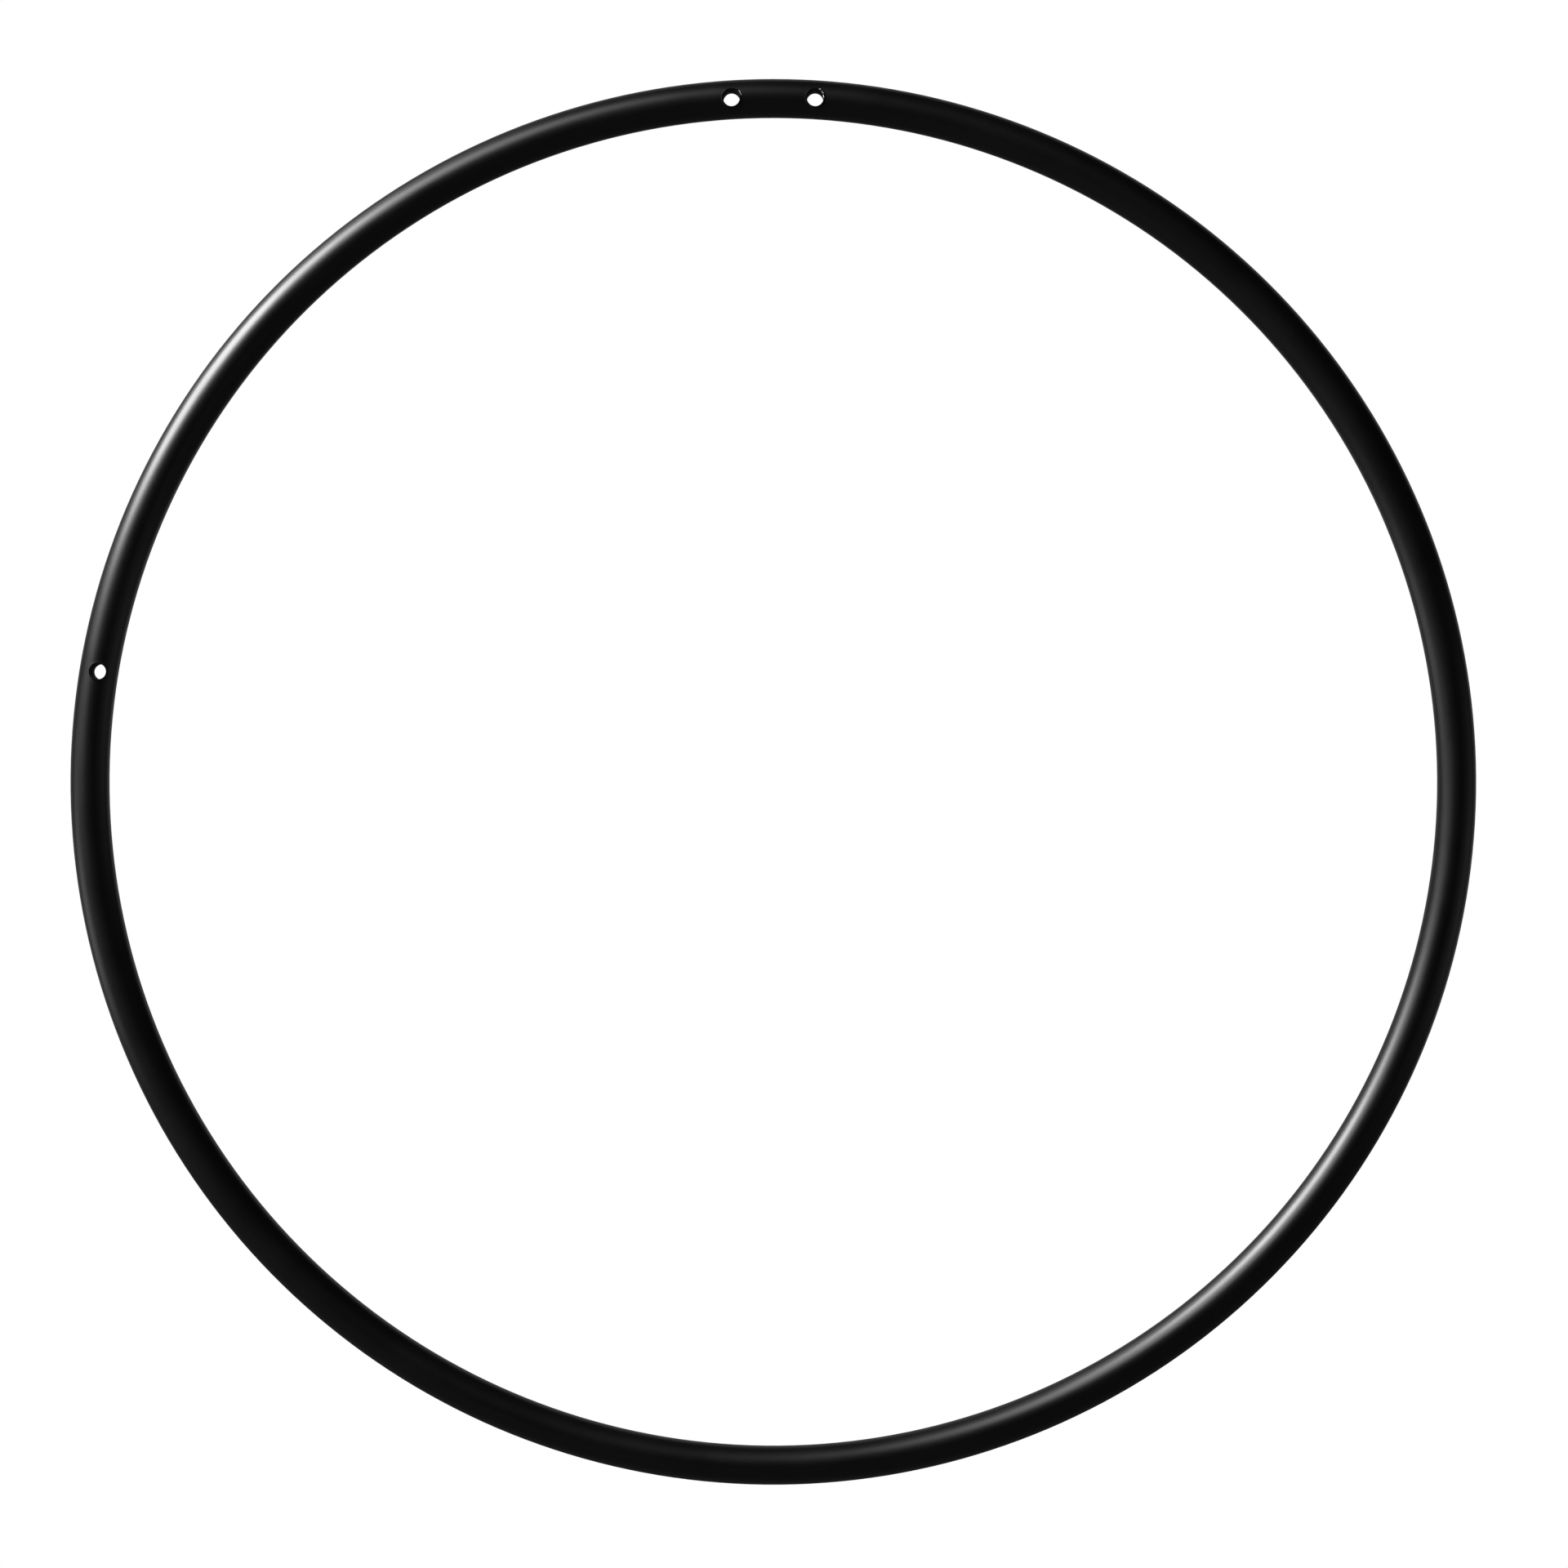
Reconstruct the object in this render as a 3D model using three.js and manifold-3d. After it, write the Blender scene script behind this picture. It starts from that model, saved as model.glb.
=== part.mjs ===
// A lyra hoop, or aerial hoop: a ring of round steel tube, rolled from one length and closed by a welded butt
// joint at the top. It hangs in the XZ plane with its centre at the origin, its front towards -Y and +Z up.
// Three sleeved holes run through the tube from front to back: two beside the top centre, which take the bolts
// that the hoop hangs from, and one on the left, a little above the hoop's middle. Lengths are in millimetres.
import * as THREE from "three";
import { mergeVertices, toCreasedNormals } from "three/addons/utils/BufferGeometryUtils.js";
import Module from "manifold-3d";

const wasm = await Module();
wasm.setup();

// The tube and the ring that it is rolled into
const hoopDiameter = 900; // over the outside of the tube
const tubeDiameter = 25;
const tubeWall = 2.5;

// The places of the holes
const topHolePitch = 53.5; // straight across, from axis to axis
const sideHoleHeight = 70.5; // above the hoop's centre
const sideHoleInset = 0.75; // from the tube's centre line towards the hoop's centre

// The sleeves in the holes
const topBoreDiameter = 10.5; // lets a 10 mm bolt through
const sideBoreDiameter = 9.8; // lets a 3/8 in bolt through
const sleeveWall = 1.1;
const sleeveProud = 0.25; // beyond the tube's crown, at the front and at the back
const sleeveChamfer = 0.2;

// The butt joint
const weldWidth = 1.4; // along the tube
const spigotWall = 3;
const spigotReach = 28; // past the axis of each top hole, along the tube

// Room between neighbours, and how far a cutter runs past what it cuts
const clearance = 0.3;
const overrun = 5;

// Facets of the round forms
const hoopSteps = 96;
const spigotSteps = 12;
const weldSteps = 2;
const outsideSides = 24;
const insideSides = 12;
const sleeveSides = 32;
const creaseAngle = Math.PI / 6;

// What follows from the sizes above
const hoopRadius = (hoopDiameter - tubeDiameter) / 2; // of the tube's centre line
const tubeRadius = tubeDiameter / 2;
const tubeBoreRadius = tubeRadius - tubeWall;
const sleeveHalfLength = tubeRadius + sleeveProud;

// One coordinate of a point in the hoop's middle plane, from the other and its distance from the hoop's centre
function otherCoordinate(coordinate, distance) {
  return Math.sqrt(distance ** 2 - coordinate ** 2);
}

// A hole is where its axis crosses the middle plane, with the radius of its bore and of the sleeve round that.
function makeHole(x, z, boreDiameter) {
  const boreRadius = boreDiameter / 2;
  return { place: new THREE.Vector3(x, 0, z), boreRadius, sleeveRadius: boreRadius + sleeveWall };
}

const topHoleX = topHolePitch / 2;
const topHoleZ = otherCoordinate(topHoleX, hoopRadius);
const sideHoleX = -otherCoordinate(sideHoleHeight, hoopRadius - sideHoleInset);
const holes = {
  crush_sleeve_top_left: makeHole(-topHoleX, topHoleZ, topBoreDiameter),
  crush_sleeve_top_right: makeHole(topHoleX, topHoleZ, topBoreDiameter),
  crush_sleeve_side: makeHole(sideHoleX, sideHoleHeight, sideBoreDiameter),
};

// The joint's pieces lie evenly about the top, and these are their half lengths as angles at the hoop's centre.
const halfWeldAngle = weldWidth / 2 / hoopRadius;
const halfButtAngle = halfWeldAngle + clearance / hoopRadius;
const halfSpigotAngle = Math.asin(topHoleX / hoopRadius) + spigotReach / hoopRadius;

const powderCoat = new THREE.MeshStandardMaterial({ color: 0x0b0b0c, roughness: 0.35, metalness: 0 });
const bareSteel = new THREE.MeshStandardMaterial({ color: 0x8b8e92, roughness: 0.5, metalness: 1 });

// A stretch of the tube's centre line between two angles, which count clockwise from the top, seen from the front.
class HoopArc extends THREE.Curve {
  constructor(startAngle, endAngle) {
    super();
    this.startAngle = startAngle;
    this.endAngle = endAngle;
  }

  angleAt(share) {
    return THREE.MathUtils.lerp(this.startAngle, this.endAngle, share);
  }

  getPoint(share, target = new THREE.Vector3()) {
    const angle = this.angleAt(share);
    return target.set(Math.sin(angle), 0, Math.cos(angle)).multiplyScalar(hoopRadius);
  }

  getTangent(share, target = new THREE.Vector3()) {
    const angle = this.angleAt(share);
    return target.set(Math.cos(angle), 0, -Math.sin(angle));
  }
}

function circlePoints(radius, sides) {
  return Array.from({ length: sides }, (_, side) => {
    const angle = (2 * Math.PI * side) / sides;
    return new THREE.Vector2(Math.cos(angle), Math.sin(angle)).multiplyScalar(radius);
  });
}

// A round tube, bent to the hoop's curve, with open ends
function bentTube({ outerRadius, outerSides, innerRadius, innerSides, startAngle, endAngle, steps }) {
  const section = new THREE.Shape(circlePoints(outerRadius, outerSides));
  section.holes.push(new THREE.Path(circlePoints(innerRadius, innerSides)));
  return new THREE.ExtrudeGeometry(section, { steps, extrudePath: new HoopArc(startAngle, endAngle) });
}

// A closed geometry as a solid that can be cut
function solidOf(geometry) {
  const bare = geometry.clone();
  bare.deleteAttribute("normal");
  bare.deleteAttribute("uv");
  const merged = mergeVertices(bare);
  return new wasm.Manifold(
    new wasm.Mesh({
      numProp: 3,
      vertProperties: merged.attributes.position.array,
      triVerts: new Uint32Array(merged.index.array),
    }),
  );
}

function geometryOf(solid) {
  const { vertProperties, triVerts } = solid.getMesh();
  return new THREE.BufferGeometry()
    .setAttribute("position", new THREE.BufferAttribute(vertProperties, 3))
    .setIndex(new THREE.BufferAttribute(triVerts, 1));
}

function namedMesh(name, geometry, material) {
  const mesh = new THREE.Mesh(toCreasedNormals(geometry, creaseAngle), material);
  mesh.name = name;
  return mesh;
}

// Cuts the hole for each of the named sleeves through a bent tube, with room round the sleeve.
function cutHoles(geometry, sleeveNames) {
  const cut = sleeveNames.reduce((solid, name) => {
    const { place, sleeveRadius } = holes[name];
    const radius = sleeveRadius + clearance;
    const cutter = new THREE.CylinderGeometry(radius, radius, tubeDiameter + 2 * overrun, sleeveSides);
    return solid.subtract(solidOf(cutter.translate(place.x, place.y, place.z)));
  }, solidOf(geometry));
  return geometryOf(cut);
}

// The rolled tube, open at the top where its cut ends face each other
function makeHoopTube() {
  const tube = bentTube({
    outerRadius: tubeRadius,
    outerSides: outsideSides,
    innerRadius: tubeBoreRadius,
    innerSides: insideSides,
    startAngle: halfButtAngle,
    endAngle: 2 * Math.PI - halfButtAngle,
    steps: hoopSteps,
  });
  return namedMesh("hoop_tube", cutHoles(tube, Object.keys(holes)), powderCoat);
}

// The sleeve inside the tube that bridges the joint and that both top sleeves pass through
function makeJointSpigot() {
  const outerRadius = tubeBoreRadius - clearance;
  const spigot = bentTube({
    outerRadius,
    outerSides: insideSides,
    innerRadius: outerRadius - spigotWall,
    innerSides: insideSides,
    startAngle: -halfSpigotAngle,
    endAngle: halfSpigotAngle,
    steps: spigotSteps,
  });
  const sleeveNames = ["crush_sleeve_top_left", "crush_sleeve_top_right"];
  return namedMesh("joint_spigot", cutHoles(spigot, sleeveNames), bareSteel);
}

// The ring of weld between the cut ends, dressed flush with the tube
function makeJointWeld() {
  const weld = bentTube({
    outerRadius: tubeRadius,
    outerSides: outsideSides,
    innerRadius: tubeBoreRadius,
    innerSides: insideSides,
    startAngle: -halfWeldAngle,
    endAngle: halfWeldAngle,
    steps: weldSteps,
  });
  return namedMesh("joint_weld", weld, powderCoat);
}

// A sleeve that lines a hole and keeps the bolt from crushing the tube, with square ends and an eased outer edge
function makeCrushSleeve(name) {
  const { place, boreRadius, sleeveRadius } = holes[name];
  const shoulderRadius = sleeveRadius - sleeveChamfer;
  const shoulderHeight = sleeveHalfLength - sleeveChamfer;
  const profile = [
    new THREE.Vector2(boreRadius, -sleeveHalfLength),
    new THREE.Vector2(shoulderRadius, -sleeveHalfLength),
    new THREE.Vector2(sleeveRadius, -shoulderHeight),
    new THREE.Vector2(sleeveRadius, shoulderHeight),
    new THREE.Vector2(shoulderRadius, sleeveHalfLength),
    new THREE.Vector2(boreRadius, sleeveHalfLength),
    new THREE.Vector2(boreRadius, -sleeveHalfLength),
  ];
  const sleeve = namedMesh(name, new THREE.LatheGeometry(profile, sleeveSides), powderCoat);
  sleeve.position.copy(place);
  return sleeve;
}

const buttJoint = new THREE.Group();
buttJoint.add(makeJointSpigot(), makeJointWeld());

const crushSleeves = new THREE.Group();
crushSleeves.add(...Object.keys(holes).map(makeCrushSleeve));

const lyraHoop = new THREE.Group();
lyraHoop.add(makeHoopTube(), buttJoint, crushSleeves);

export default lyraHoop;
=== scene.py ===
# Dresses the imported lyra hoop: satin black powder coat over the tube and the sleeves in its holes, wear
# beside the two hanging holes, and a plain studio. Lengths are in metres, +Z is up and -Y is the front.
import math
from collections import namedtuple

import bmesh
import bpy
from mathutils import Matrix, Vector


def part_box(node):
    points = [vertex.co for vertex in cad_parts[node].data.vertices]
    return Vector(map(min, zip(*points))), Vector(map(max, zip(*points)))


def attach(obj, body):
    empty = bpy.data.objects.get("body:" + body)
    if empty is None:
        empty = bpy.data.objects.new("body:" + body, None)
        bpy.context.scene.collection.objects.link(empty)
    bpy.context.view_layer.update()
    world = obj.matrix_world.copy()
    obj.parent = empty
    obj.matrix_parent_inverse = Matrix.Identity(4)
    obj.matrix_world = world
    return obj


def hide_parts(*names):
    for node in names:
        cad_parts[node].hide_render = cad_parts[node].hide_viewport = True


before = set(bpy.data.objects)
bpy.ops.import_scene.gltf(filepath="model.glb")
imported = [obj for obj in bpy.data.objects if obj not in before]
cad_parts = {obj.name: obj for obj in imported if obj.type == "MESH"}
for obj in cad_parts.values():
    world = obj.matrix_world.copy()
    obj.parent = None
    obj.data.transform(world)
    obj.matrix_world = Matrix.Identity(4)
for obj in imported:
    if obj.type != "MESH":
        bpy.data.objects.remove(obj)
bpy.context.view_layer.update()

FULL_TURN = 2 * math.pi
RIGHT_ANGLE_DEGREES = 90

# The camera, which puts the hoop's centre on one pixel of the photograph
IMAGE_SIDE_PIXELS = 1920
IMAGE_MIDDLE_PIXEL = (IMAGE_SIDE_PIXELS - 1) / 2
HOOP_CENTRE_PIXEL_X = 946.45
HOOP_CENTRE_PIXEL_Y = 956.9
CAMERA_DISTANCE = 4.2
LENS_MM = 150.6
SENSOR_MM = 36

# The tube: its radii, from the frame, and its wall
tube_low, tube_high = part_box("hoop_tube")
TUBE_RADIUS = (tube_high.y - tube_low.y) / 2
HOOP_RADIUS = (tube_high.x - tube_low.x) / 2 - TUBE_RADIUS
TUBE_WALL = 0.0025

# The sleeves' own sizes, beside those that the frame gives
SLEEVE_WALL = 0.0011
BORE_EDGE_ROUND = 0.00028
RIM_EDGE_ROUND = 0.00004

# The tube's coat round each sleeve: its gap to the sleeve, and the hollow corner where it rises beside it
SLEEVE_GAP = 0.00003
COAT_FILLET = 0.0001
FILLET_HEIGHT_SHARE = 0.7

# The tube's grid: rows round its section, columns along it, and a finer square block at each hole
SECTION_ROWS = 64
COLUMN_ANGLE = math.radians(1.25)
BLOCK_CELLS = 18
BLOCK_HALF_ANGLE = TUBE_RADIUS * math.sin(math.pi * BLOCK_CELLS / SECTION_ROWS) / HOOP_RADIUS
PATCH_SHARES = (0.22, 0.42, 0.6, 0.75, 0.88, 1)
FILLET_SHARES = (0.25, 0.5, 0.75, 1)

# The sleeves' grid
SLEEVE_SEGMENTS = 144
FACE_RINGS = 6
ROUND_STEPS = 6

# Edges that bend more than this stay sharp.
SHARP_ANGLE = math.radians(40)

# Where the coat is worn off beside the hanging holes: clock angles about the hole's axis in degrees, and
# the radius and the half width as shares of the sleeve's radius
Wear = namedtuple("Wear", "start end radius_share width_share")
WEAR_ARCS = {
    "crush_sleeve_top_left": (
        Wear(start=42, end=78, radius_share=1.01, width_share=0.03),
    ),
    "crush_sleeve_top_right": (
        Wear(start=19, end=34, radius_share=1.02, width_share=0.055),
        Wear(start=41, end=62, radius_share=0.93, width_share=0.045),
        Wear(start=68, end=88, radius_share=0.85, width_share=0.03),
    ),
    "crush_sleeve_side": (),
}
WEAR_FADE_DEGREES = 6
UNWORN_DEPTH = TUBE_RADIUS / 2
BACK_WEAR_SHARE = 0.6

# The colours
WHITE = (1, 1, 1, 1)
COAT_DARK = (0.0002, 0.0002, 0.0002, 1)
COAT_PALE = (0.0006, 0.0006, 0.0007, 1)
STEEL_DARK = (0.45, 0.45, 0.45, 1)
STEEL_PALE = (0.7, 0.7, 0.69, 1)
FLOOR_GREY = (0.2, 0.2, 0.2, 1)
DIM_FLOOR_GREY = (0.06, 0.06, 0.06, 1)

# The patterns in the finishes: how fine each is, its layers of detail, and how strong the finer layers are
Pattern = namedtuple("Pattern", "scale detail roughness", defaults=(2, 0.5))
TONE_PATTERN = Pattern(scale=14, detail=3)
HAZE_PATTERN = Pattern(scale=30, detail=4)
GRAIN_PATTERN = Pattern(scale=900)
FLAKE_PATTERN = Pattern(scale=1400, detail=3, roughness=0.6)
WORN_STEEL_PATTERN = Pattern(scale=2500, detail=3)
PEEL_PATTERN = Pattern(scale=300, roughness=0.4)
FINE_PEEL_PATTERN = Pattern(scale=2200)
MILL_PATTERN = Pattern(scale=60, detail=4, roughness=0.6)
MILL_GLOSS_PATTERN = Pattern(scale=400, detail=3)

# The part of a pattern, or of the broken edge of the wear, over which a finish changes
PATTERN_MIDDLE = 0.5
PATTERN_RANGE = (0.3, 0.7)
TONE_RANGE = (0.35, 0.65)
BARE_RANGE = (0.42, 0.58)
WHOLE_RANGE = (0, 1)

# How rough each finish is, from 0 for a mirror to 1. The rings are the sleeves' flat ends.
COAT_ROUGHNESS_RANGE = (0.315, 0.345)
GRAIN_ROUGHNESS_RANGE = (-0.01, 0.01)
RING_ROUGHNESS = 0.22
DULL_ROUGHNESS = 0.9
WORN_ROUGHNESS_RANGE = (0.5, 0.65)
MILL_ROUGHNESS_RANGE = (0.4, 0.6)
COAT_IOR = 1.5

# The orange peel's height, the fine peel and the coat's depth as shares of it, how far flakes break up the
# edge of the wear, and the mill finish's height
PEEL_HEIGHT = 0.000003
FINE_PEEL_SHARE = 0.12
COAT_DEPTH_SHARE = 4
FLAKE_SHARE = 0.9
MILL_HEIGHT = 0.00003

# The key light. Clock angles count from the top, seen from the front, and tilts from the front towards the
# back, both in degrees. Most numbers here and in the room below come from least-squares fits to the
# photograph's brightness round the tube, and some were then changed. The places of the last four glows
# are given, and only their strengths were fitted.
KEY_CLOCK = 307.3
KEY_SKEW = 9
KEY_TILT = 75.7
KEY_DISTANCE = 3
KEY_WIDTH = 1.51
KEY_LENGTH = 2.08
KEY_RADIANCE = 20.3

# The room that the coat mirrors: round glows, full inside their core and fading over some degrees round it
Glow = namedtuple("Glow", "clock tilt core fade strength")
GLOWS = (
    Glow(clock=317, tilt=60, core=1, fade=30, strength=5.36),
    Glow(clock=311, tilt=97, core=1, fade=29, strength=2.09),
    Glow(clock=103, tilt=91, core=4, fade=26, strength=0.21),
    Glow(clock=258, tilt=85, core=2, fade=29, strength=0.3),
    Glow(clock=240, tilt=90, core=5, fade=30, strength=1.9),
    Glow(clock=280, tilt=60, core=5, fade=30, strength=0.25),
    Glow(clock=115, tilt=65, core=5, fade=35, strength=0.15),
    Glow(clock=165, tilt=75, core=25, fade=45, strength=0.1),
)
AMBIENT_STRENGTH = 0.017

# The backdrop, and the white panel in its middle. They rise and fall with how nearly a direction points
# straight back, from 0 for sideways to 1.
BACKDROP_STRENGTH = 0.281
BACKDROP_RISE = (0.45, 0.7)
BACKDROP_FALL = (0.93, 0.99)
PANEL_RISE = (0.98, 0.99)

# The floor
FLOOR_HEIGHT = -1.3
FLOOR_RADIUS = 4
FLOOR_SEGMENTS = 96
FLOOR_FADE_SHARES = (0.5, 0.95)
FLOOR_GLOW = 0.55


class Hole:
    """A hole through the tube along Y, and the sleeve in it."""

    def __init__(self, node):
        low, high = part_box(node)
        self.node = node
        self.centre = (low + high) / 2
        self.radius = (high.x - low.x) / 2
        self.bore_radius = self.radius - SLEEVE_WALL
        self.coat_radius = self.radius + SLEEVE_GAP
        self.half_length = (high.y - low.y) / 2
        self.angle = math.atan2(self.centre.x, self.centre.z) % FULL_TURN

    def rim_point(self, direction, radius):
        """
        The x and z of a point at a radius from the hole's axis. Its direction is along the hoop at 0, and
        outward a quarter turn on.
        """
        along, outward = math.cos(direction), math.sin(direction)
        sine, cosine = math.sin(self.angle), math.cos(self.angle)
        x = self.centre.x + radius * (along * cosine + outward * sine)
        z = self.centre.z + radius * (outward * cosine - along * sine)
        return Vector((x, z))


def smoothstep(low, high, value):
    """How far a value has come from low to high, from 0 to 1, with a soft start and end."""
    share = min(max((value - low) / (high - low), 0), 1)
    return share * share * (3 - 2 * share)


def wear_at(hole, point):
    """How worn the coat is at a point, from 0 to 1. Nothing is worn near the hoop's middle plane."""
    if abs(point.y) < UNWORN_DEPTH:
        return 0
    across, up = point.x - hole.centre.x, point.z - hole.centre.z
    radius_share = math.hypot(across, up) / hole.radius
    clock = math.degrees(math.atan2(across, up))
    worn = 0
    for arc in WEAR_ARCS[hole.node]:
        along = smoothstep(arc.start - WEAR_FADE_DEGREES, arc.start + WEAR_FADE_DEGREES, clock)
        along *= 1 - smoothstep(arc.end - WEAR_FADE_DEGREES, arc.end + WEAR_FADE_DEGREES, clock)
        beside = (radius_share - arc.radius_share) / arc.width_share
        worn = max(worn, along * math.exp(-(beside**2)))
    return worn if point.y < 0 else worn * BACK_WEAR_SHARE


def finished_object(name, mesh, material):
    """Turns a bmesh into a smooth shaded object whose real corners stay sharp."""
    bmesh.ops.recalc_face_normals(mesh, faces=mesh.faces)
    data = bpy.data.meshes.new(name)
    mesh.to_mesh(data)
    mesh.free()
    data.polygons.foreach_set("use_smooth", [True] * len(data.polygons))
    data.set_sharp_from_angle(angle=SHARP_ANGLE)
    data.materials.append(material)
    made = bpy.data.objects.new(name, data)
    bpy.context.scene.collection.objects.link(made)
    return made


def bridge(mesh, first, second):
    """Joins two closed rings of as many points with a band of faces."""
    for index in range(len(first)):
        following = (index + 1) % len(first)
        mesh.faces.new((first[index], first[following], second[following], second[index]))


def tube_point(angle, turn, radius):
    """A point of the tube's skin. The turn goes from the hoop's outside, over the front, to its inside."""
    reach = HOOP_RADIUS + radius * math.cos(turn)
    return Vector((reach * math.sin(angle), -radius * math.sin(turn), reach * math.cos(angle)))


def skin_depth(place, radius):
    """How far a skin of that radius lies from the hoop's middle plane at the given x and z."""
    across = place.length - HOOP_RADIUS
    return math.sqrt(radius**2 - across**2)


def column_angles(holes):
    """The angles of the grid's columns, and the number of the column at which each hole's block starts."""
    angles, starts = [], {}
    ordered = sorted(holes, key=lambda hole: hole.angle)
    for hole, following in zip(ordered, ordered[1:] + ordered[:1]):
        starts[hole.node] = len(angles)
        first, last = hole.angle - BLOCK_HALF_ANGLE, hole.angle + BLOCK_HALF_ANGLE
        gap = (following.angle - BLOCK_HALF_ANGLE - last) % FULL_TURN
        steps = max(1, round(gap / COLUMN_ANGLE))
        angles += [first + (last - first) * step / BLOCK_CELLS for step in range(BLOCK_CELLS)]
        angles += [last + gap * step / steps for step in range(steps)]
    return angles, starts


def block_rows(side):
    """The first row of a hole's block, at the front for side -1 and at the back for side 1."""
    middle = SECTION_ROWS * (2 + side) // 4
    return middle - BLOCK_CELLS // 2


def block_outline(grid, start, side):
    """The grid's points round a block, in order."""
    first, span = block_rows(side), BLOCK_CELLS
    places = [(step, 0) for step in range(span)]
    places += [(span, step) for step in range(span)]
    places += [(span - step, span) for step in range(span)]
    places += [(0, span - step) for step in range(span)]
    return [grid[(start + column) % len(grid)][first + row] for column, row in places]


def in_block(offset, row, margin):
    """Whether a cell, or with a margin of 1 a point, lies in a block whose first column is at offset 0."""
    if not margin <= offset < BLOCK_CELLS:
        return False
    return any(margin <= row - block_rows(side) < BLOCK_CELLS for side in (-1, 1))


def add_grid(mesh, angles, starts, radius):
    """The skin between the holes' blocks, as columns of points, and the faces between them."""

    def blocked(column, row, margin):
        return any(in_block((column - start) % len(angles), row, margin) for start in starts.values())

    grid = []
    for column, angle in enumerate(angles):
        points = []
        for row in range(SECTION_ROWS):
            turn = FULL_TURN * row / SECTION_ROWS
            point = None if blocked(column, row, 1) else mesh.verts.new(tube_point(angle, turn, radius))
            points.append(point)
        grid.append(points)
    for column in range(len(grid)):
        here, beside = grid[column], grid[(column + 1) % len(grid)]
        for row in range(SECTION_ROWS):
            above = (row + 1) % SECTION_ROWS
            if not blocked(column, row, 0):
                mesh.faces.new((here[row], beside[row], beside[above], here[above]))
    return grid


def rim_directions(side):
    """The directions from a hole's axis to the points round its block, from the first corner on."""
    first_corner = FULL_TURN * 3 / 8
    count = 4 * BLOCK_CELLS
    return [side * (FULL_TURN * index / count - first_corner) for index in range(count)]


def add_patch(mesh, outline, hole, side, radius, rim_radii):
    """The skin from a block's square outline in to the hole's round rim."""
    corners = [Vector((vert.co.x, vert.co.z)) for vert in outline]
    targets = [hole.rim_point(*rim) for rim in zip(rim_directions(side), rim_radii)]
    ring = outline
    for share in PATCH_SHARES:
        inner = []
        for corner, target in zip(corners, targets):
            place = corner.lerp(target, share)
            inner.append(mesh.verts.new((place.x, side * skin_depth(place, radius), place.y)))
        bridge(mesh, ring, inner)
        ring = inner
    return ring


def add_fillet(mesh, rim, hole, side, sizes):
    """The coat's small hollow corner where it runs up the side of a sleeve."""
    dull = mesh.verts.layers.float["dull"]
    ring = rim
    for share in FILLET_SHARES:
        upper = []
        for direction, size in zip(rim_directions(side), sizes):
            start = hole.rim_point(direction, hole.coat_radius + size)
            corner = hole.rim_point(direction, hole.coat_radius)
            start_depth = skin_depth(start, TUBE_RADIUS)
            corner_depth = skin_depth(corner, TUBE_RADIUS)
            first, middle, last = (1 - share) ** 2, 2 * share * (1 - share), share**2
            place = start.lerp(corner, 1 - first)
            level = first * start_depth + middle * corner_depth + last * (corner_depth + size)
            vert = mesh.verts.new((place.x, side * level, place.y))
            vert[dull] = 1
            upper.append(vert)
        bridge(mesh, ring, upper)
        ring = upper
    return ring


def fillet_sizes(hole, side):
    """The fillet's size in each direction, which is less where the sleeve stands less proud."""
    sizes = []
    for direction in rim_directions(side):
        depth = skin_depth(hole.rim_point(direction, hole.coat_radius), TUBE_RADIUS)
        sizes.append(min(COAT_FILLET, FILLET_HEIGHT_SHARE * (hole.half_length - depth)))
    return sizes


def make_coated_tube(holes, material):
    """The coated tube as one hollow ring, with its holes open for the sleeves."""
    mesh = bmesh.new()
    mesh.verts.layers.float.new("dull")
    wear = mesh.verts.layers.float.new("wear")
    angles, starts = column_angles(holes)
    outside = add_grid(mesh, angles, starts, TUBE_RADIUS)
    inside = add_grid(mesh, angles, starts, TUBE_RADIUS - TUBE_WALL)
    for hole in holes:
        for side in (-1, 1):
            sizes = fillet_sizes(hole, side)
            radii = [hole.coat_radius + size for size in sizes]
            outline = block_outline(outside, starts[hole.node], side)
            rim = add_patch(mesh, outline, hole, side, TUBE_RADIUS, radii)
            top = add_fillet(mesh, rim, hole, side, sizes)
            outline = block_outline(inside, starts[hole.node], side)
            radii = [hole.coat_radius] * len(outline)
            bottom = add_patch(mesh, outline, hole, side, TUBE_RADIUS - TUBE_WALL, radii)
            bridge(mesh, top, bottom)
    for vert in mesh.verts:
        vert[wear] = max(wear_at(hole, vert.co) for hole in holes)
    return finished_object("hoop_tube_coated", mesh, material)


def corner_arc(centre_radius, centre_level, size, start, end):
    """The points of one rounded corner of the sleeve's outline."""
    points = []
    for step in range(ROUND_STEPS + 1):
        angle = start + (end - start) * step / ROUND_STEPS
        points.append((centre_radius + size * math.cos(angle), centre_level + size * math.sin(angle)))
    return points


def sleeve_outline(hole):
    """Half of the sleeve's section, as radius and level: up the bore, over the end and down the side."""
    inner, outer = hole.bore_radius + BORE_EDGE_ROUND, hole.radius - RIM_EDGE_ROUND
    points = corner_arc(inner, hole.half_length - BORE_EDGE_ROUND, BORE_EDGE_ROUND, math.pi, math.pi / 2)
    for ring in range(1, FACE_RINGS):
        points.append((inner + (outer - inner) * ring / FACE_RINGS, hole.half_length))
    return points + corner_arc(outer, hole.half_length - RIM_EDGE_ROUND, RIM_EDGE_ROUND, math.pi / 2, 0)


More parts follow.
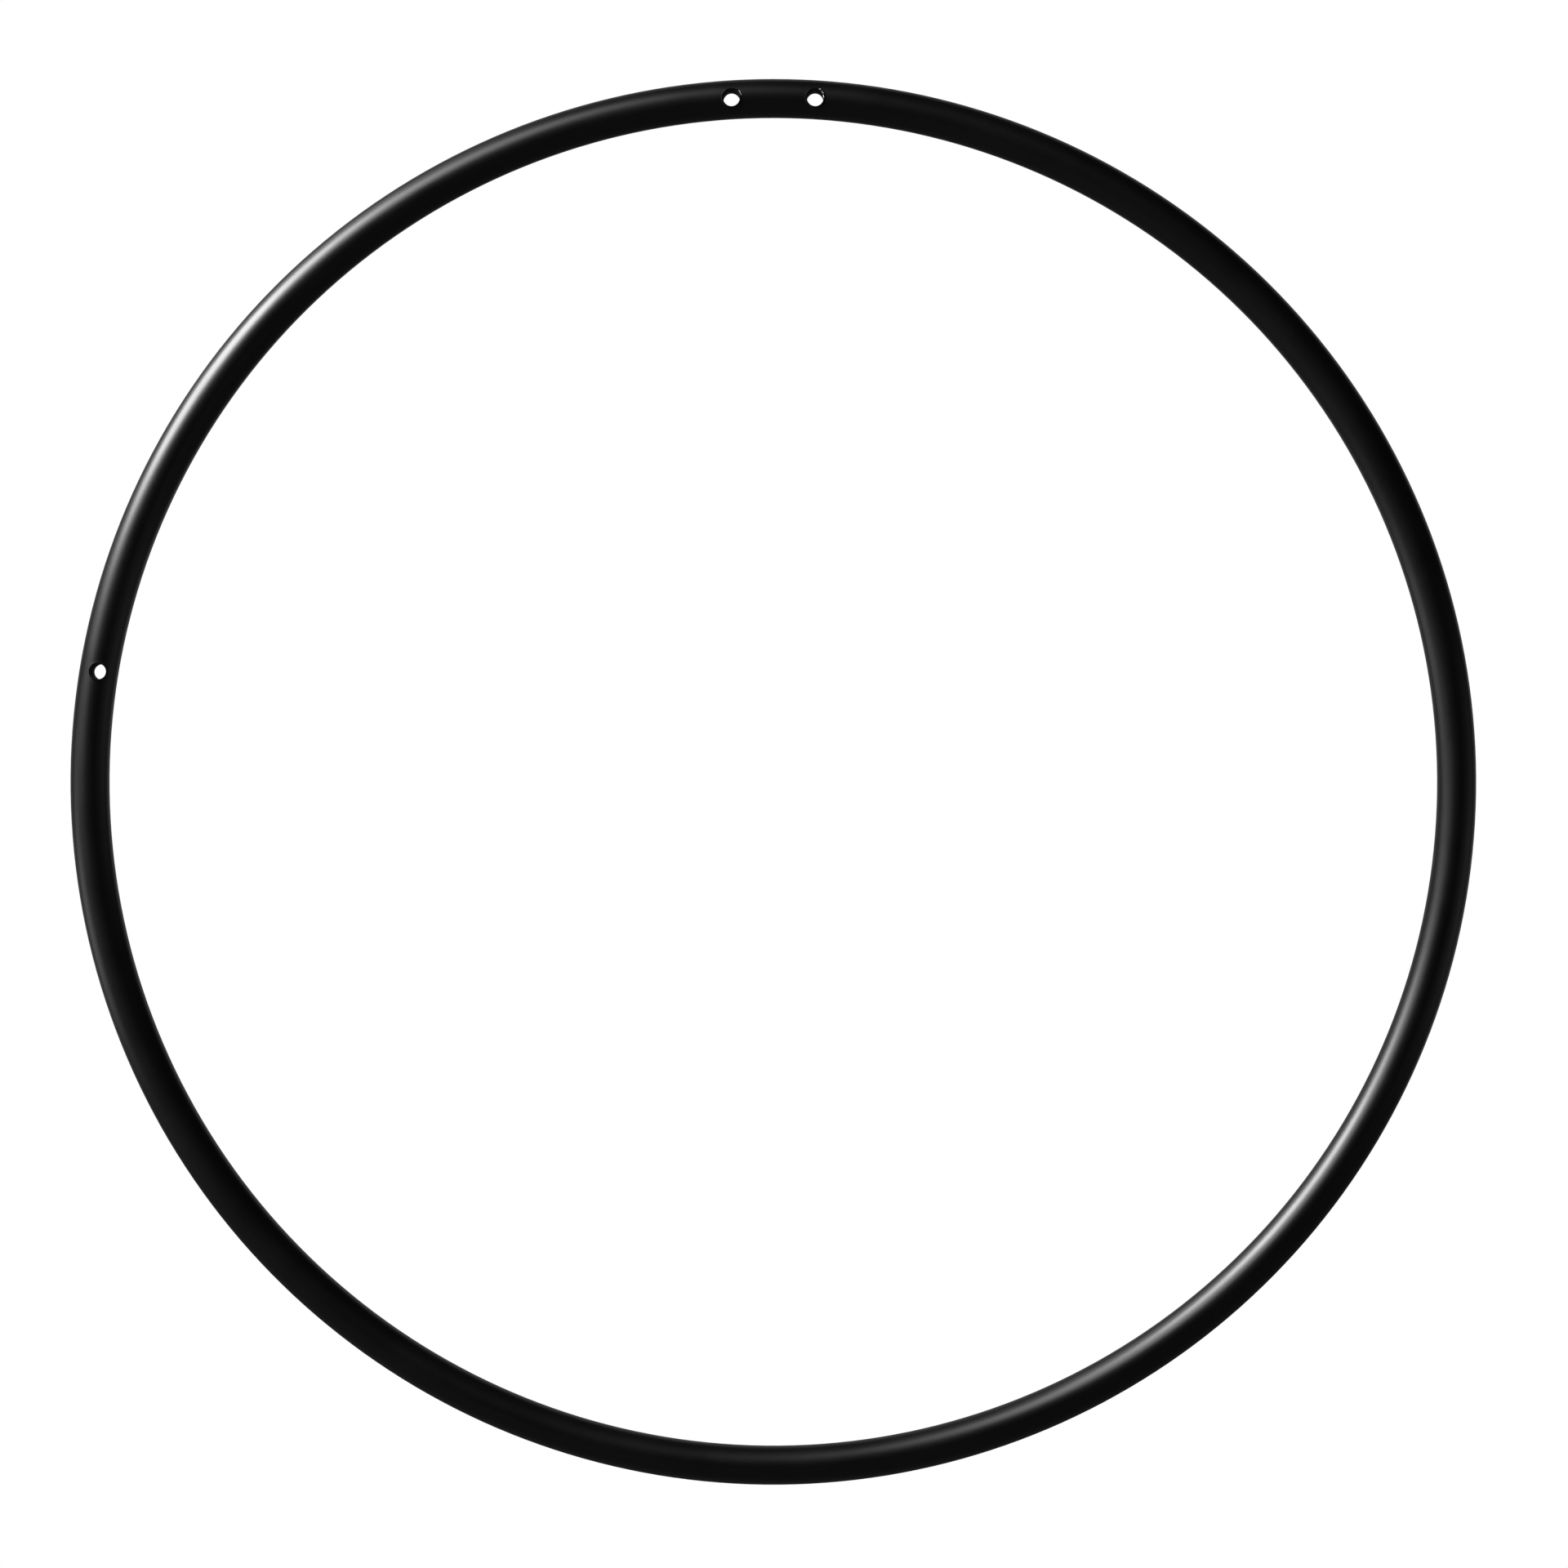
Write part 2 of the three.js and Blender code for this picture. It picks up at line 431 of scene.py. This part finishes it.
def make_coated_sleeve(name, hole, material):
    """A sleeve with its ends and edges, turned about the hole's axis."""
    mesh = bmesh.new()
    wear = mesh.verts.layers.float.new("wear")
    dull = mesh.verts.layers.float.new("dull")
    glossy = mesh.verts.layers.float.new("glossy")
    half = sleeve_outline(hole)
    outline = half + [(radius, -level) for radius, level in reversed(half)]
    rings = []
    for radius, level in outline:
        ring = []
        for segment in range(SLEEVE_SEGMENTS):
            place = hole.rim_point(FULL_TURN * segment / SLEEVE_SEGMENTS, radius)
            vert = mesh.verts.new((place.x, level, place.y))
            vert[wear] = wear_at(hole, vert.co)
            on_face = hole.bore_radius + BORE_EDGE_ROUND <= radius <= hole.radius - RIM_EDGE_ROUND
            vert[dull] = 0 if on_face else 1
            vert[glossy] = 1 - vert[dull]
            ring.append(vert)
        rings.append(ring)
    for ring, following in zip(rings, rings[1:] + rings[:1]):
        bridge(mesh, ring, following)
    return finished_object(name, mesh, material)


class NodeTree:
    """Short ways to add nodes to a material's or the world's node tree."""

    def __init__(self, owner):
        owner.use_nodes = True
        self.tree = owner.node_tree
        self.tree.nodes.clear()

    def add(self, kind, inputs=None, **settings):
        """Adds a node, with its inputs by name or number, and its settings."""
        node = self.tree.nodes.new(kind)
        for name, value in settings.items():
            setattr(node, name, value)
        for name, value in (inputs or {}).items():
            self.feed(node.inputs[name], value)
        return node

    def feed(self, socket, value):
        """Links an input to another node's output, or sets its value."""
        if isinstance(value, bpy.types.NodeSocket):
            self.tree.links.new(value, socket)
        else:
            socket.default_value = value

    def math(self, operation, *values):
        """One number, worked out from others."""
        inputs = dict(enumerate(values))
        return self.add("ShaderNodeMath", inputs, operation=operation).outputs[0]

    def noise(self, place, pattern):
        """A pattern of noise, from 0 to 1."""
        inputs = {
            "Vector": place,
            "Scale": pattern.scale,
            "Detail": pattern.detail,
            "Roughness": pattern.roughness,
        }
        return self.add("ShaderNodeTexNoise", inputs).outputs["Fac"]

    def ranged(self, value, old_range, new_range):
        """A number that runs softly through the new range as the value crosses the old one."""
        inputs = {
            "Value": value,
            "From Min": old_range[0],
            "From Max": old_range[1],
            "To Min": new_range[0],
            "To Max": new_range[1],
        }
        return self.add("ShaderNodeMapRange", inputs, interpolation_type="SMOOTHSTEP").outputs["Result"]

    def attribute(self, name):
        """A value that the mesh carries at each point."""
        return self.add("ShaderNodeAttribute", attribute_name=name).outputs["Fac"]

    def dotted(self, first, second):
        """The dot product of two vectors."""
        node = self.add("ShaderNodeVectorMath", {0: first, 1: second}, operation="DOT_PRODUCT")
        return node.outputs["Value"]

    def mixed(self, share, first, second):
        """Two numbers, mixed. The mix node's sockets go by number, since their names repeat."""
        return self.add("ShaderNodeMix", {0: share, 2: first, 3: second}, data_type="FLOAT").outputs[0]

    def mixed_colour(self, share, first, second):
        """Two colours, mixed."""
        return self.add("ShaderNodeMix", {0: share, 6: first, 7: second}, data_type="RGBA").outputs[2]


def make_powder_coat():
    """Satin black powder coat with a fine orange peel, and bare steel where the wear attribute says."""
    material = bpy.data.materials.new("powder_coat_satin_black")
    nodes = NodeTree(material)
    place = nodes.add("ShaderNodeTexCoord").outputs["Object"]

    tone = nodes.ranged(nodes.noise(place, TONE_PATTERN), TONE_RANGE, WHOLE_RANGE)
    coat_colour = nodes.mixed_colour(tone, COAT_DARK, COAT_PALE)
    haze = nodes.ranged(nodes.noise(place, HAZE_PATTERN), PATTERN_RANGE, COAT_ROUGHNESS_RANGE)
    grain = nodes.ranged(nodes.noise(place, GRAIN_PATTERN), PATTERN_RANGE, GRAIN_ROUGHNESS_RANGE)
    glossy = nodes.attribute("glossy")
    dull = nodes.attribute("dull")
    coat_roughness = nodes.mixed(glossy, nodes.math("ADD", haze, grain), RING_ROUGHNESS)
    coat_roughness = nodes.mixed(dull, coat_roughness, DULL_ROUGHNESS)

    worn = nodes.attribute("wear")
    flakes = nodes.math("SUBTRACT", nodes.noise(place, FLAKE_PATTERN), PATTERN_MIDDLE)
    edge = nodes.math("ADD", worn, nodes.math("MULTIPLY", flakes, FLAKE_SHARE))
    bare = nodes.ranged(edge, BARE_RANGE, WHOLE_RANGE)
    steel_tone = nodes.noise(place, WORN_STEEL_PATTERN)
    steel_colour = nodes.mixed_colour(steel_tone, STEEL_DARK, STEEL_PALE)

    colour = nodes.mixed_colour(bare, coat_colour, steel_colour)
    steel_roughness = nodes.ranged(steel_tone, PATTERN_RANGE, WORN_ROUGHNESS_RANGE)
    roughness = nodes.mixed(bare, coat_roughness, steel_roughness)

    peel = nodes.noise(place, PEEL_PATTERN)
    fine = nodes.noise(place, FINE_PEEL_PATTERN)
    height = nodes.math("ADD", peel, nodes.math("MULTIPLY", fine, FINE_PEEL_SHARE))
    height = nodes.math("SUBTRACT", height, nodes.math("MULTIPLY", bare, COAT_DEPTH_SHARE))
    bump = nodes.add("ShaderNodeBump", {"Height": height, "Strength": 1.0, "Distance": PEEL_HEIGHT})

    shader = nodes.add("ShaderNodeBsdfPrincipled", {
        "Base Color": colour,
        "Metallic": bare,
        "Roughness": roughness,
        "IOR": COAT_IOR,
        "Normal": bump.outputs["Normal"],
    })
    nodes.add("ShaderNodeOutputMaterial", {"Surface": shader.outputs["BSDF"]})
    return material


def make_bare_steel():
    """Plain mill finish steel, for the joint's inner piece."""
    material = bpy.data.materials.new("bare_steel_mill_finish")
    nodes = NodeTree(material)
    place = nodes.add("ShaderNodeTexCoord").outputs["Object"]
    tone = nodes.noise(place, MILL_PATTERN)
    colour = nodes.mixed_colour(tone, STEEL_DARK, STEEL_PALE)
    roughness = nodes.ranged(nodes.noise(place, MILL_GLOSS_PATTERN), PATTERN_RANGE, MILL_ROUGHNESS_RANGE)
    bump = nodes.add("ShaderNodeBump", {"Height": tone, "Strength": 1.0, "Distance": MILL_HEIGHT})
    shader = nodes.add("ShaderNodeBsdfPrincipled", {
        "Base Color": colour,
        "Metallic": 1.0,
        "Roughness": roughness,
        "Normal": bump.outputs["Normal"],
    })
    nodes.add("ShaderNodeOutputMaterial", {"Surface": shader.outputs["BSDF"]})
    return material


def make_floor():
    """
    A pale round floor below the hoop, which fades to the white background and keeps the hoop's shadow.
    Only the camera sees it so. Mirrored and bounced rays meet a dim floor, like the rest of the room.
    """
    mesh = bmesh.new()
    bmesh.ops.create_circle(mesh, cap_ends=True, segments=FLOOR_SEGMENTS, radius=FLOOR_RADIUS)
    for vert in mesh.verts:
        vert.co.z = FLOOR_HEIGHT
    material = bpy.data.materials.new("pale_floor")
    nodes = NodeTree(material)
    place = nodes.add("ShaderNodeTexCoord").outputs["Object"]
    without_height = (1, 1, 0)
    flat = nodes.add("ShaderNodeVectorMath", {0: place, 1: without_height}, operation="MULTIPLY")
    distance = nodes.add("ShaderNodeVectorMath", {0: flat.outputs[0]}, operation="LENGTH")
    fade_range = [FLOOR_RADIUS * share for share in FLOOR_FADE_SHARES]
    fade = nodes.ranged(distance.outputs["Value"], fade_range, WHOLE_RANGE)
    paths = nodes.add("ShaderNodeLightPath").outputs
    floor = nodes.add("ShaderNodeBsdfDiffuse", {"Color": FLOOR_GREY})
    glow = nodes.add("ShaderNodeEmission", {"Color": WHITE, "Strength": FLOOR_GLOW})
    lit = nodes.add("ShaderNodeAddShader", {0: floor.outputs[0], 1: glow.outputs[0]})
    white = nodes.add("ShaderNodeEmission", {"Color": WHITE, "Strength": 1.0})
    seen = nodes.add("ShaderNodeMixShader", {0: fade, 1: lit.outputs[0], 2: white.outputs[0]})
    dim = nodes.add("ShaderNodeBsdfDiffuse", {"Color": DIM_FLOOR_GREY})
    by_camera = paths["Is Camera Ray"]
    surface = nodes.add("ShaderNodeMixShader", {0: by_camera, 1: dim.outputs[0], 2: seen.outputs[0]})
    nodes.add("ShaderNodeOutputMaterial", {"Surface": surface.outputs[0]})
    floor_object = finished_object("floor", mesh, material)


def toward(clock, tilt):
    """The direction from the hoop at a clock angle and a tilt."""
    around, back = math.radians(clock), math.radians(tilt)
    return Vector((math.sin(around) * math.sin(back), -math.cos(back), math.cos(around) * math.sin(back)))


def make_world():
    """White behind the hoop, and round it the dim room with the glows that the coat mirrors."""
    world = bpy.data.worlds.new("studio")
    bpy.context.scene.world = world
    nodes = NodeTree(world)
    direction = nodes.add("ShaderNodeTexCoord").outputs["Generated"]
    depth = nodes.add("ShaderNodeSeparateXYZ", {0: direction}).outputs["Y"]
    rising = nodes.ranged(depth, BACKDROP_RISE, (0, BACKDROP_STRENGTH))
    falling = nodes.ranged(depth, BACKDROP_FALL, (1, 0))
    room = nodes.math("ADD", nodes.math("MULTIPLY", rising, falling), AMBIENT_STRENGTH)
    for glow in GLOWS:
        facing = nodes.dotted(direction, toward(glow.clock, glow.tilt))
        edge, core = math.cos(math.radians(glow.core + glow.fade)), math.cos(math.radians(glow.core))
        room = nodes.math("ADD", room, nodes.ranged(facing, (edge, core), (0, glow.strength)))
    paths = nodes.add("ShaderNodeLightPath").outputs
    mirrored = nodes.math("MAXIMUM", paths["Is Glossy Ray"], paths["Is Transmission Ray"])
    panel = nodes.math("MULTIPLY", mirrored, nodes.ranged(depth, PANEL_RISE, WHOLE_RANGE))
    white = nodes.math("MAXIMUM", paths["Is Camera Ray"], panel)
    strength = nodes.mixed(white, room, 1)
    background = nodes.add("ShaderNodeBackground", {"Color": WHITE, "Strength": strength})
    nodes.add("ShaderNodeOutputWorld", {"Surface": background.outputs[0]})


def make_key_light():
    """One large oval softbox, high on the left and a little in front, longer from front to back."""
    lamp = bpy.data.lights.new("key_softbox", "AREA")
    lamp.shape = "ELLIPSE"
    lamp.size = KEY_WIDTH
    lamp.size_y = KEY_LENGTH
    area = math.pi * KEY_WIDTH * KEY_LENGTH / 4
    lamp.energy = KEY_RADIANCE * math.pi * area
    softbox = bpy.data.objects.new("key_softbox", lamp)
    back = toward(KEY_CLOCK, KEY_TILT)
    sideways = toward(KEY_CLOCK + RIGHT_ANGLE_DEGREES, RIGHT_ANGLE_DEGREES)
    across = Matrix.Rotation(math.radians(KEY_SKEW), 3, back) @ sideways
    axes = Matrix((across, back.cross(across), back)).transposed()
    softbox.matrix_world = Matrix.Translation(back * KEY_DISTANCE) @ axes.to_4x4()
    softbox.visible_camera = False
    bpy.context.scene.collection.objects.link(softbox)


def make_camera():
    """The photograph's straight front view, with the hoop's centre on its pixel."""
    data = bpy.data.cameras.new("front_camera")
    data.lens = LENS_MM
    data.sensor_width = SENSOR_MM
    camera = bpy.data.objects.new("front_camera", data)
    metres_per_pixel = CAMERA_DISTANCE * SENSOR_MM / LENS_MM / IMAGE_SIDE_PIXELS
    x = (IMAGE_MIDDLE_PIXEL - HOOP_CENTRE_PIXEL_X) * metres_per_pixel
    z = (HOOP_CENTRE_PIXEL_Y - IMAGE_MIDDLE_PIXEL) * metres_per_pixel
    camera.location = (x, -CAMERA_DISTANCE, z)
    camera.rotation_euler = (math.pi / 2, 0, 0)
    bpy.context.scene.collection.objects.link(camera)
    bpy.context.scene.camera = camera


def dress_hoop():
    """The coated pieces, each in place of its CAD nodes, and the finish of the one node that stays."""
    powder_coat = make_powder_coat()
    holes = [Hole(node) for node in WEAR_ARCS]
    tube = make_coated_tube(holes, powder_coat)
    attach(tube, "root")
    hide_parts("hoop_tube", "joint_weld")
    for hole in holes:
        name = hole.node.replace("crush_", "") + "_coated"
        sleeve = make_coated_sleeve(name, hole, powder_coat)
        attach(sleeve, "root")
        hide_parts(hole.node)
    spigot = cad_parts["joint_spigot"]
    spigot.data.materials.clear()
    spigot.data.materials.append(make_bare_steel())


make_camera()
dress_hoop()
make_floor()
make_world()
make_key_light()
bpy.context.scene.view_settings.view_transform = "Standard"
